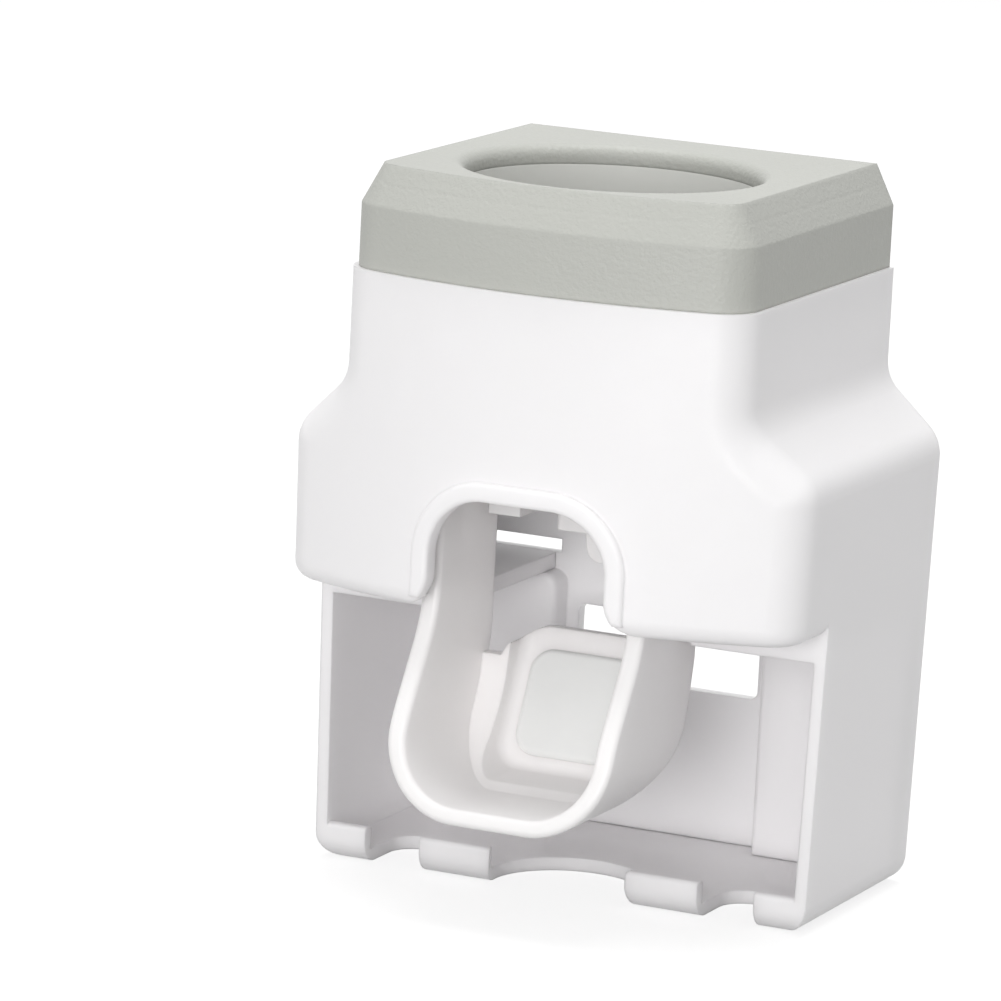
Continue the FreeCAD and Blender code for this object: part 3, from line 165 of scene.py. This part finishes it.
finishes = {
    "white_abs": mouldedPlastic("whiteAbs", whiteLook),
    "grey_abs": mouldedPlastic("greyGrain", greyLook),
    "pale_grey_abs": mouldedPlastic("paleGrey", paleLook),
    "acetal": mouldedPlastic("acetal", acetalLook),
    "silicone": mouldedPlastic("silicone", siliconeLook),
    "steel": drawnSteel("drawnSteel", steelLook),
}
for sub in frame["record"]["subparts"]:
    mesh = nodes[sub["node"]].data
    mesh.materials.clear()
    mesh.materials.append(finishes[sub["material_slot"]])
nodes["push_lever"].data.materials[0] = mouldedPlastic("leverWhite", leverLook)
print("finishes set:", len(finishes))


# Pieces

def addPiece(name, bm, materials, sharpAngle):
    mesh = bpy.data.meshes.new(name)
    bm.to_mesh(mesh)
    bm.free()
    for mat in materials:
        mesh.materials.append(mat)
    mesh.polygons.foreach_set("use_smooth", [True] * len(mesh.polygons))
    mesh.set_sharp_from_angle(angle=math.radians(sharpAngle))
    obj = bpy.data.objects.new(name, mesh)
    bpy.context.scene.collection.objects.link(obj)
    return obj


# Countersunk screws in the back, with a cross in each head

screwLook = dict(headRadius=0.0027, headEdge=0.00012, headDepth=0.0013, shankRadius=0.0014,
                 length=0.011, tipLength=0.0014, tipRadius=0.0004, steps=40, mergeGap=1e-7,
                 crossReach=0.0015, crossHalf=0.00033, crossDepth=0.0009, crossTaper=0.72,
                 firstTurn=0.4, turnStep=0.55, sharpAngle=35.0)
# x and z of each head, on the back face
screwSets = {
    "backScrews": ("back_plate_screws", [(0.0328, 0.101), (-0.0328, 0.101),
                                         (0.04337, 0.061), (-0.04337, 0.061)]),
    "cradleScrews": ("cradle_screws", [(0.012, 0.0838), (-0.012, 0.0838),
                                       (0.012, 0.0709), (-0.012, 0.0709)]),
}


def addScrew(bm, look, x, z, turn):
    part = bmesh.new()
    side = [(look["headRadius"], 0.0),
            (look["headRadius"], -look["headEdge"]),
            (look["shankRadius"], -look["headDepth"]),
            (look["shankRadius"], look["tipLength"] - look["length"]),
            (look["tipRadius"], -look["length"]),
            (0.0, -look["length"])]
    points = [part.verts.new((radius, y, 0)) for radius, y in side]
    line = [part.edges.new(pair) for pair in zip(points, points[1:])]
    bmesh.ops.spin(part, geom=points + line, cent=(0, 0, 0), axis=(0, 1, 0), dvec=(0, 0, 0),
                   angle=math.tau, steps=look["steps"], use_merge=True, use_duplicate=False)
    bmesh.ops.remove_doubles(part, verts=part.verts, dist=look["mergeGap"])
    rim = [e for e in part.edges if all(abs(v.co.y) < look["mergeGap"] for v in e.verts)]
    # the cross: twelve corners round the head's middle, sunk and drawn in towards the bottom
    reach, half = look["crossReach"], look["crossHalf"]
    arm = [(half, half), (reach, half), (reach, -half)]
    corners = []
    for quarter in range(4):
        spin = Matrix.Rotation(turn - quarter * math.pi / 2, 2)
        corners += [spin @ Vector(c) for c in arm]
    ring = [part.verts.new((c.x, 0, c.y)) for c in corners]
    cross = [part.edges.new(pair) for pair in zip(ring, ring[1:] + ring[:1])]
    bmesh.ops.triangle_fill(part, edges=rim + cross, use_beauty=True, normal=(0, 1, 0))
    sunk = bmesh.ops.extrude_edge_only(part, edges=cross)["geom"]
    floorVerts = [g for g in sunk if isinstance(g, bmesh.types.BMVert)]
    floorEdges = [g for g in sunk if isinstance(g, bmesh.types.BMEdge)
                  and all(v in floorVerts for v in g.verts)]
    bmesh.ops.scale(part, verts=floorVerts, vec=(look["crossTaper"], 1, look["crossTaper"]))
    bmesh.ops.translate(part, verts=floorVerts, vec=(0, -look["crossDepth"], 0))
    bmesh.ops.edgeloop_fill(part, edges=floorEdges)
    bmesh.ops.recalc_face_normals(part, faces=part.faces)
    bmesh.ops.translate(part, verts=part.verts, vec=(x, 0, z))
    draft = bpy.data.meshes.new("screwDraft")
    part.to_mesh(draft)
    part.free()
    bm.from_mesh(draft)
    bpy.data.meshes.remove(draft)


def addScrews(name, node, spots, look):
    bm = bmesh.new()
    for i, (x, z) in enumerate(spots):
        addScrew(bm, look, x, z, look["firstTurn"] + i * look["turnStep"])
    obj = addPiece(name, bm, [finishes["steel"]], look["sharpAngle"])
    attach(obj, "housing")
    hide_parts(node)


for name, (node, spots) in screwSets.items():
    addScrews(name, node, spots, screwLook)
print("screws made:", sum(len(spots) for node, spots in screwSets.values()))


# Parts that give as the lever is pressed, the spring and the diaphragm, copied into pieces of their
# own

giveLook = dict(diaphragmBack=-0.047, diaphragmKeep=0.1, mergeGap=1e-6, sharpAngle=40.0)


def copyNode(name, node):
    source = nodes[node].data
    bm = bmesh.new()
    bm.from_mesh(source)
    bmesh.ops.remove_doubles(bm, verts=bm.verts, dist=giveLook["mergeGap"])
    return addPiece(name, bm, source.materials, giveLook["sharpAngle"])


spring = copyNode("springCoil", "return_spring")
fixedLeg = max((v.co for v in spring.data.vertices), key=lambda co: co.z).copy()
freeLeg = max((v.co for v in spring.data.vertices), key=lambda co: co.y).copy()
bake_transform(spring)
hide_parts("return_spring")

diaphragm = copyNode("diaphragmSkin", "pump_diaphragm")
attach(diaphragm, "housing")
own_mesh(diaphragm)
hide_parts("pump_diaphragm")
print("giving parts made")


# Pad on the floor of the lever's recess, with a soft moulded edge

padLook = dict(half=0.0103, height=0.0194, lift=0.0026, thick=0.0012,
               corner=0.0042, cornerSteps=10, edgeRound=0.00112, edgeSteps=7,
               place=(0, -0.047, 0.022), lean=25.0, sharpAngle=60.0)


def addBrushPad(look):
    bm = bmesh.new()
    upright = Matrix.Rotation(math.pi / 2, 3, "X")
    leaning = Matrix.Rotation(-math.radians(look["lean"]), 3, "X")
    bmesh.ops.create_grid(bm, x_segments=1, y_segments=1, size=1.0)
    bmesh.ops.scale(bm, verts=bm.verts, vec=(look["half"], look["height"] / 2, 1))
    bmesh.ops.rotate(bm, verts=bm.verts, cent=(0, 0, 0), matrix=upright)
    bmesh.ops.translate(bm, verts=bm.verts, vec=(0, 0, look["lift"] + look["height"] / 2))
    bmesh.ops.bevel(bm, geom=bm.verts[:], offset=look["corner"], offset_type="OFFSET",
                    affect="VERTICES", segments=look["cornerSteps"], profile=0.5, material=-1)
    raised = bmesh.ops.extrude_face_region(bm, geom=bm.faces[:])["geom"]
    topVerts = [g for g in raised if isinstance(g, bmesh.types.BMVert)]
    topEdges = [g for g in raised if isinstance(g, bmesh.types.BMEdge)]
    bmesh.ops.translate(bm, verts=topVerts, vec=(0, -look["thick"], 0))
    bmesh.ops.bevel(bm, geom=topEdges, offset=look["edgeRound"], offset_type="OFFSET",
                    affect="EDGES", segments=look["edgeSteps"], profile=0.5, material=-1)
    bmesh.ops.recalc_face_normals(bm, faces=bm.faces)
    bmesh.ops.rotate(bm, verts=bm.verts, cent=(0, 0, 0), matrix=leaning)
    bmesh.ops.translate(bm, verts=bm.verts, vec=look["place"])
    obj = addPiece("brushPad", bm, [finishes["silicone"]], look["sharpAngle"])
    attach(obj, "lever")
    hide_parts("brush_pad")


addBrushPad(padLook)
print("brush pad made")


# Stage, light and camera

stageLook = dict(floorColour=0.42, floorSeen=0.3, floorGlow=0.78, floorHalf=3.0,
                 worldStrength=0.57, worldSeen=1.0, lampAim=(0, -0.04, 0.07))
lampLook = dict(
    frontLamp=dict(place=(0.25, -1.3, 0.2), size=0.7, power=9.6),
    topLamp=dict(place=(-0.05, 0.1, 1.3), size=0.9, power=9.5),
)
cameraLook = dict(place=(0.459582, -1.088604, 0.299083), turn=(78.6279, -2.8840, 25.0500),
                  lens=240.409, sensorWidth=36, clipEnd=20)


def seenDirectly(tree, links):
    # 1 for what the camera, a reflection or clear plastic shows, 0 for the light itself
    path = tree.new("ShaderNodeLightPath")
    seen = path.outputs["Is Camera Ray"]
    for ray in ("Is Glossy Ray", "Is Transmission Ray"):
        either = tree.new("ShaderNodeMath")
        either.operation = "MAXIMUM"
        links.new(seen, either.inputs[0])
        links.new(path.outputs[ray], either.inputs[1])
        seen = either.outputs[0]
    return seen


def addFloor(look):
    bm = bmesh.new()
    bmesh.ops.create_grid(bm, x_segments=1, y_segments=1, size=look["floorHalf"])
    mesh = bpy.data.meshes.new("floor")
    bm.to_mesh(mesh)
    bm.free()
    floor = bpy.data.objects.new("floor", mesh)
    bpy.context.scene.collection.objects.link(floor)
    # a pale floor that reads as white to the eye and still takes the shadow
    mat, tree, links, shader = startMaterial("paleFloor")
    seen = seenDirectly(tree, links)
    tone = addNode(tree, "ShaderNodeMapRange", To_Min=look["floorColour"], To_Max=look["floorSeen"])
    links.new(seen, tone.inputs["Value"])
    links.new(tone.outputs["Result"], shader.inputs["Base Color"])
    shader.inputs["Roughness"].default_value = 1.0
    shader.inputs["Specular IOR Level"].default_value = 0.0
    shader.inputs["Emission Color"].default_value = pureWhite
    glow = tree.new("ShaderNodeMath")
    glow.operation = "MULTIPLY"
    glow.inputs[1].default_value = look["floorGlow"]
    links.new(seen, glow.inputs[0])
    links.new(glow.outputs[0], shader.inputs["Emission Strength"])
    mesh.materials.append(mat)


def addWorld(look):
    world = bpy.data.worlds.new("studio")
    bpy.context.scene.world = world
    world.use_nodes = True
    tree, links = world.node_tree.nodes, world.node_tree.links
    back = tree["Background"]
    back.inputs["Color"].default_value = pureWhite
    back.inputs["Strength"].default_value = look["worldStrength"]
    seen = addNode(tree, "ShaderNodeBackground", Color=pureWhite, Strength=look["worldSeen"])
    mix = tree.new("ShaderNodeMixShader")
    links.new(seenDirectly(tree, links), mix.inputs[0])
    links.new(back.outputs[0], mix.inputs[1])
    links.new(seen.outputs[0], mix.inputs[2])
    links.new(mix.outputs[0], tree["World Output"].inputs["Surface"])


def addLamp(name, look):
    lamp = bpy.data.lights.new(name, "AREA")
    lamp.shape = "DISK"
    lamp.size = look["size"]
    lamp.energy = look["power"]
    obj = bpy.data.objects.new(name, lamp)
    obj.location = look["place"]
    aim = Vector(stageLook["lampAim"]) - obj.location
    obj.rotation_euler = aim.to_track_quat("-Z", "Y").to_euler()
    bpy.context.scene.collection.objects.link(obj)


def addCamera(look):
    data = bpy.data.cameras.new("camera")
    data.sensor_width = look["sensorWidth"]
    data.lens = look["lens"]
    data.clip_end = look["clipEnd"]
    obj = bpy.data.objects.new("camera", data)
    obj.location = look["place"]
    obj.rotation_euler = [math.radians(a) for a in look["turn"]]
    bpy.context.scene.collection.objects.link(obj)
    bpy.context.scene.camera = obj


addFloor(stageLook)
addWorld(stageLook)
for name, look in lampLook.items():
    addLamp(name, look)
addCamera(cameraLook)
bpy.context.scene.view_settings.view_transform = "Standard"
print("stage set")
